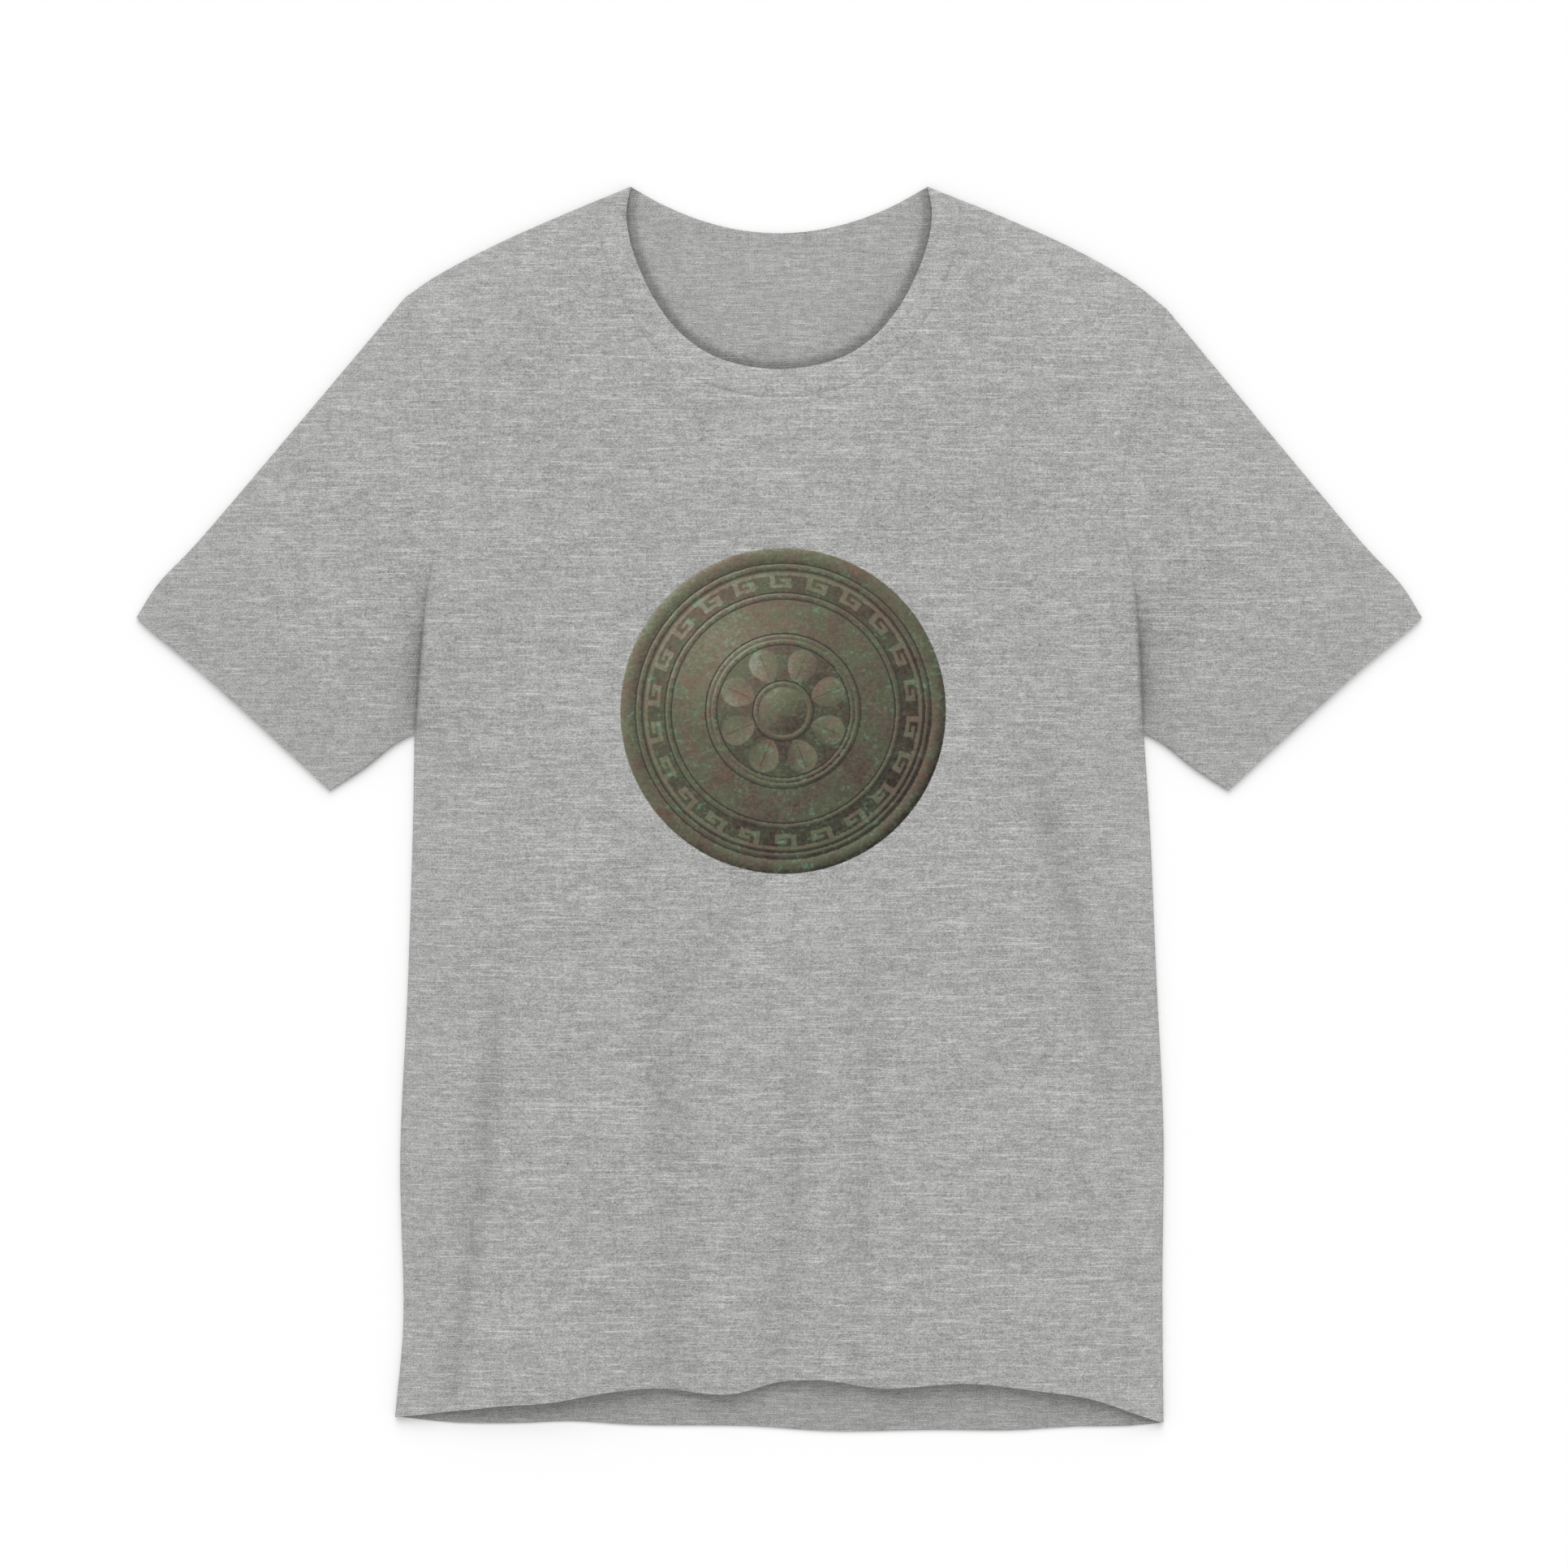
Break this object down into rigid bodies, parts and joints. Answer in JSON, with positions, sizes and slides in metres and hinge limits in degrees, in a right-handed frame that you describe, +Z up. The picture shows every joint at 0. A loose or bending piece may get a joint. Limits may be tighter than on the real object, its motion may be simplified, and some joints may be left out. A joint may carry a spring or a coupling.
{
  "type": "t-shirt",
  "caption": "Short-sleeved crew-neck jersey T-shirt lying flat and face up, hollow, open at neck, cuffs and hem.",
  "frame": {"origin": "on the surface that the shirt lies on, under the centre of its outline", "axes": "+Z up out of the shirt's front, +Y from the hem towards the neck, +X to the wearer's left"},
  "size_m": [0.7408, 0.7171, 0.0184],
  "materials": {
    "printed_jersey": "heather-grey cotton jersey with a round bronze-coloured shield roundel printed on the chest",
    "jersey": "matt heather-grey cotton jersey, fine streaks along the courses",
    "rib_knit": "matt heather-grey 1x1 rib knit, folded double"
  },
  "bodies": {
    "root": {"front_panel": "printed_jersey", "back_panel": "jersey", "left_sleeve": "jersey", "right_sleeve": "jersey", "neck_band": "rib_knit"}
  },
  "joints": []
}
